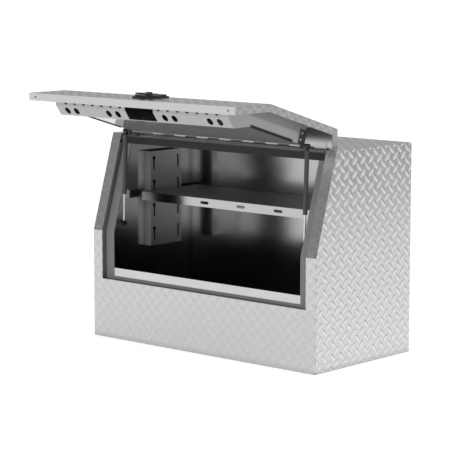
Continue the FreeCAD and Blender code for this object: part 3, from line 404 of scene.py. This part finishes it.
side_outline = [(0, 0), (DEPTH, 0), (DEPTH, HEIGHT), (SETBACK, HEIGHT), (0, BEND)]
tread_field("right_side_tread", "carcass", Vector((WIDTH / 2, -DEPTH / 2, 0)), Y, Z, side_outline,
            BAR_HEIGHT, material=highlighted_bars)
left_outline = [(DEPTH - y, z) for y, z in reversed(side_outline)]
tread_field("left_side_tread", "carcass", Vector((-WIDTH / 2, DEPTH / 2, 0)), -Y, Z, left_outline,
            BAR_HEIGHT, material=highlighted_bars)
tread_field("back_tread", "carcass", Vector((WIDTH / 2, DEPTH / 2, 0)), -X, Z, block(0, WIDTH, 0, HEIGHT),
            BAR_HEIGHT, material=highlighted_bars)
tread_field("roof_tread", "carcass", Vector((-WIDTH / 2, -DEPTH / 2, HEIGHT)), X, Y,
            block(0, WIDTH, ROOF_FRONT, DEPTH), TOP_BAR_HEIGHT, material=highlighted_bars)

# The front and the posts, whose bars are lower
front_corner = Vector((-WIDTH / 2, -DEPTH / 2, 0))
tread_field("front_tread", "carcass", front_corner, X, Z, block(0, WIDTH, 0, SILL), FRONT_BAR_HEIGHT,
            material=faint_bars)
slope = Vector((0, SETBACK, HEIGHT - BEND)).normalized()
slope_length = math.hypot(SETBACK, HEIGHT - BEND)
for name, low in (("left", 0), ("right", WIDTH - POST_WIDTH)):
    tread_field(f"{name}_post_tread", "carcass", front_corner, X, Z,
                block(low, low + POST_WIDTH, SILL, BEND), FRONT_BAR_HEIGHT, material=faint_bars)
    tread_field(f"{name}_post_slope_tread", "carcass", front_corner + Z * BEND, X, slope,
                block(low, low + POST_WIDTH, 0, slope_length), SLOPE_BAR_HEIGHT)

# The door's outer faces with the door up: its flat lower part, now level, its slope and its side returns
skin_low, skin_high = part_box("door_skin")
door_half = skin_high.x
level_z = skin_high.z
proud = level_z - (HINGE_Z + HINGE_Y + DEPTH / 2)
half_lean = math.tan(math.atan(SETBACK / (HEIGHT - BEND)) / 2)
bend_y = HINGE_Y + BEND + proud * half_lean - HINGE_Z
latch_low, latch_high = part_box("latch_plate")
latch_patch = block(latch_low.x, latch_high.x, latch_low.y - skin_low.y, latch_high.y - skin_low.y)
tread_field("door_level_tread", "door", Vector((0, skin_low.y, level_z)), X, Y,
            block(-door_half, door_half, 0, bend_y - skin_low.y), TOP_BAR_HEIGHT, [latch_patch], highlighted_bars)
down_slope = Vector((0, HEIGHT - BEND, -SETBACK)).normalized()
door_slope_length = (skin_high.y - bend_y) / down_slope.y
tread_field("door_slope_tread", "door", Vector((0, bend_y, level_z)), X, down_slope,
            block(-door_half, door_half, 0, door_slope_length), TOP_BAR_HEIGHT, material=highlighted_bars)
RETURN_DEPTH = 29.5 * MM
level_run = bend_y - skin_low.y
fold_run = RETURN_DEPTH * half_lean
level_return = [(0, -RETURN_DEPTH), (level_run - fold_run, -RETURN_DEPTH), (level_run, 0), (0, 0)]
slope_return = [(-fold_run, -RETURN_DEPTH), (door_slope_length - RETURN_DEPTH, -RETURN_DEPTH),
                (door_slope_length, 0), (0, 0)]
slope_out = X.cross(down_slope)
for name, side in (("left", -1), ("right", 1)):
    for part, start, along, outward, outline in (
            ("level", Vector((door_half * side, skin_low.y, level_z)), Y, Z, level_return),
            ("slope", Vector((door_half * side, bend_y, level_z)), down_slope, slope_out, slope_return)):
        if side < 0:
            along, outline = -along, [(-u, v) for u, v in reversed(outline)]
        tread_field(f"{name}_door_{part}_return_tread", "door", start, along, outward, outline,
                    RETURN_BAR_HEIGHT, material=faint_bars)

# Small fasteners: domed heads on the faces they hold, and the key slot of the lock

# Rings of a head from its foot up, as shares of its radius and rise
HEAD_RINGS = ((1.0, 0.0), (0.97, 0.4), (0.70, 0.85), (0.25, 1.0))
HEAD_SIDES = 16
UPPER_PIVOT_Y, UPPER_PIVOT_Z = -0.2185, 0.8665
BRACKET_SHEET = 3 * MM
UPPER_BOLTS = ((46 * MM, -14 * MM), (20 * MM, -17 * MM))
UPPER_BOLT_RADIUS, UPPER_BOLT_RISE = 5.5 * MM, 3.5 * MM
LOWER_BOLT_X, LOWER_BOLT_Y, LOWER_BOLT_Z = 0.528, -0.2586, 0.482
LOWER_BOLT_SPREAD = 10 * MM
LOWER_BOLT_RADIUS, LOWER_BOLT_RISE = 4.5 * MM, 3 * MM
RIVET_RADIUS, RIVET_RISE = 4 * MM, 1.8 * MM
PLATE_RIVET_X, PLATE_RIVET_Y = 41 * MM, 37 * MM
KEEPER_RIVET_X = 28 * MM
KEY_SLOT_WIDTH, KEY_SLOT_LENGTH, KEY_SLOT_LIFT = 2 * MM, 10 * MM, 0.05 * MM


def add_head(mesh, place, axis, radius, height):
    """A domed head that stands on a face at a place, along an axis."""
    across = axis.orthogonal().normalized()
    up = axis.cross(across)
    rings = []
    for spread, level in HEAD_RINGS:
        ring = []
        for step in range(HEAD_SIDES):
            angle = 2 * math.pi * step / HEAD_SIDES
            arm = (across * math.cos(angle) + up * math.sin(angle)) * radius * spread
            ring.append(mesh.verts.new(place + arm + axis * height * level))
        rings.append(ring)
    for low, high in zip(rings, rings[1:]):
        for step in range(HEAD_SIDES):
            following = (step + 1) % HEAD_SIDES
            mesh.faces.new((low[step], low[following], high[following], high[step]))
    mesh.faces.new(rings[-1])


door_out = Vector((0, SETBACK, HEIGHT - BEND)).normalized()
bracket_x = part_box("right_upper_strut_bracket")[0].x + BRACKET_SHEET
bolts = bmesh.new()
for side in (-1, 1):
    pivot = Vector((bracket_x * side, UPPER_PIVOT_Y, UPPER_PIVOT_Z))
    for out, along in UPPER_BOLTS:
        place = pivot + door_out * out + down_slope * along
        add_head(bolts, place, X * side, UPPER_BOLT_RADIUS, UPPER_BOLT_RISE)
finish_mesh("upper_bracket_bolts", bolts, "door", zinc_steel)

bolts = bmesh.new()
post_inward = X.cross(slope) * -1
post_lean = SETBACK / (HEIGHT - BEND)
for side in (-1, 1):
    for rise in (-LOWER_BOLT_SPREAD, LOWER_BOLT_SPREAD):
        place = Vector((LOWER_BOLT_X * side, LOWER_BOLT_Y + rise * post_lean, LOWER_BOLT_Z + rise))
        add_head(bolts, place, post_inward, LOWER_BOLT_RADIUS, LOWER_BOLT_RISE)
finish_mesh("lower_bracket_bolts", bolts, "carcass", zinc_steel)

rivets = bmesh.new()
plate_middle = (latch_low + latch_high) / 2
for x in (-PLATE_RIVET_X, PLATE_RIVET_X):
    for y in (-PLATE_RIVET_Y, PLATE_RIVET_Y):
        add_head(rivets, Vector((x, plate_middle.y + y, latch_high.z)), Z, RIVET_RADIUS, RIVET_RISE)
finish_mesh("latch_plate_rivets", rivets, "door", black_coat)

rivets = bmesh.new()
keeper_low, keeper_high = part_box("latch_keeper")
for x in (-KEEPER_RIVET_X, KEEPER_RIVET_X):
    place = Vector((x, keeper_high.y, (keeper_low.z + keeper_high.z) / 2))
    add_head(rivets, place, Y, RIVET_RADIUS, RIVET_RISE)
finish_mesh("keeper_rivets", rivets, "carcass", zinc_steel)

lock_low, lock_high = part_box("lock_barrel")
# Painted shade: the key slot is a flat black patch on the barrel, standing in for the dark of the keyway
slot = bmesh.new()
slot_middle = Vector((0, (lock_low.y + lock_high.y) / 2, lock_high.z + KEY_SLOT_LIFT))
slot_outline = block(-KEY_SLOT_WIDTH / 2, KEY_SLOT_WIDTH / 2, -KEY_SLOT_LENGTH / 2, KEY_SLOT_LENGTH / 2)
slot.faces.new([slot.verts.new(slot_middle + X * x + Y * y) for x, y in slot_outline])
finish_mesh("key_slot", slot, "lock_core", black_coat, smooth=False)

# Stage, light and camera

# The floor is white to the eye and in mirror images alike, and gives other surfaces less light.
# Its light falls off to the right, so the upright faces there darken towards their top.
FLOOR_REACH = 400
POOL_EDGE, POOL_END = 2.8, 4.2
POOL_GLOW, FAR_GLOW, BOUNCE_GLOW = 0.74, 0.12, 0.40
SEEN_PAINT, BOUNCE_PAINT = 0.75, 0.18
floor_mesh = bpy.data.meshes.new("floor")
floor_corners = block(-FLOOR_REACH, FLOOR_REACH, -FLOOR_REACH, FLOOR_REACH)
floor_mesh.from_pydata([(x, y, 0) for x, y in floor_corners], [], [(0, 1, 2, 3)])
floor = bpy.data.objects.new("floor", floor_mesh)
bpy.context.scene.collection.objects.link(floor)
floor_material, tree, shader = new_material("matt white studio floor")
shader.inputs["Roughness"].default_value = 0.9
shader.inputs["Emission Color"].default_value = linear("#ffffff")
path = add(tree, "ShaderNodeLightPath").outputs
mirrored = add(tree, "ShaderNodeMath", {"operation": "MAXIMUM"},
               links={0: path["Is Glossy Ray"], 1: path["Is Transmission Ray"]}).outputs["Value"]
seen = add(tree, "ShaderNodeMath", {"operation": "MAXIMUM"},
           links={0: path["Is Camera Ray"], 1: mirrored}).outputs["Value"]
paint = add(tree, "ShaderNodeMix", {"data_type": "RGBA"}, {"A": grey(BOUNCE_PAINT), "B": grey(SEEN_PAINT)},
            {"Factor": seen})
tree.links.new(paint.outputs["Result"], shader.inputs["Base Color"])
place = add(tree, "ShaderNodeTexCoord").outputs["Object"]
along = add(tree, "ShaderNodeSeparateXYZ", links={"Vector": place}).outputs["X"]
pool_range = {"From Min": POOL_EDGE, "From Max": POOL_END, "To Min": POOL_GLOW, "To Max": FAR_GLOW}
pool = add(tree, "ShaderNodeMapRange", inputs=pool_range, links={"Value": along})
strength = add(tree, "ShaderNodeMix", {"data_type": "FLOAT"}, {"A": BOUNCE_GLOW},
               {"Factor": seen, "B": pool.outputs["Result"]})
tree.links.new(strength.outputs["Result"], shader.inputs["Emission Strength"])
floor_mesh.materials.append(floor_material)

# The studio around it: to the left, walls that darken upwards; to the right, low dark and light screens
LEFT_TONES = ((0.0, 0.86), (0.05, 0.78), (0.10, 0.60), (0.14, 0.60), (0.21, 0.44), (0.32, 0.28),
              (0.50, 0.24), (1.0, 0.45))
RIGHT_TONES = ((0.20, 0.7), (0.28, 0.24), (0.55, 0.24), (0.60, 0.50), (0.70, 0.55), (0.80, 1.4))
ABOVE_SCREENS = 0.6
SCREEN_TOP = {"From Min": 0.10, "From Max": 0.20}
RIGHT_EDGE = {"From Min": 0.0, "From Max": 0.2}
world = bpy.data.worlds.new("studio")
bpy.context.scene.world = world
world.use_nodes = True
tree = world.node_tree
tree.nodes.clear()
place = add(tree, "ShaderNodeTexCoord").outputs["Generated"]
direction = add(tree, "ShaderNodeSeparateXYZ", links={"Vector": place}).outputs
left_walls = add(tree, "ShaderNodeValToRGB", links={"Fac": direction["Z"]}, stops=LEFT_TONES)
screens = add(tree, "ShaderNodeValToRGB", links={"Fac": direction["X"]}, stops=RIGHT_TONES)
over_screens = add(tree, "ShaderNodeMapRange", inputs=SCREEN_TOP, links={"Value": direction["Z"]})
right_walls = add(tree, "ShaderNodeMix", {"data_type": "RGBA"}, {"B": grey(ABOVE_SCREENS)},
                  {"Factor": over_screens.outputs["Result"], "A": screens.outputs["Color"]})
to_right = add(tree, "ShaderNodeMapRange", inputs=RIGHT_EDGE, links={"Value": direction["X"]})
studio = add(tree, "ShaderNodeMix", {"data_type": "RGBA"},
             links={"Factor": to_right.outputs["Result"], "A": left_walls.outputs["Color"],
                    "B": right_walls.outputs["Result"]})
lamp = add(tree, "ShaderNodeBackground", inputs={"Strength": 1.0},
           links={"Color": studio.outputs["Result"]})
add(tree, "ShaderNodeOutputWorld", links={"Surface": lamp.outputs["Background"]})


def soft_light(name, place, target, width, height, watts):
    data = bpy.data.lights.new(name, "AREA")
    data.shape = "RECTANGLE"
    data.size = width
    data.size_y = height
    data.energy = watts
    light = bpy.data.objects.new(name, data)
    light.location = place
    light.rotation_euler = (Vector(target) - Vector(place)).to_track_quat("-Z", "Y").to_euler()
    bpy.context.scene.collection.objects.link(light)


soft_light("overhead softbox", (0.5, 0.8, 4.5), (0, 0, 0.5), 3.0, 3.0, 30)

# The camera stands where the box's corners fall as they do in the photograph
TARGET = Vector((-0.129742, 0, 0.480326))
BACK = Vector((0.65890, -0.73921, 0.13941)).normalized()
DISTANCE = 8.057546
camera_data = bpy.data.cameras.new("camera")
camera_data.sensor_width = 36
camera_data.lens = 155.39
camera = bpy.data.objects.new("camera", camera_data)
camera.location = TARGET + BACK * DISTANCE
camera.rotation_euler = (-BACK).to_track_quat("-Z", "Y").to_euler()
bpy.context.scene.collection.objects.link(camera)
bpy.context.scene.camera = camera
bpy.context.scene.view_settings.view_transform = "Standard"
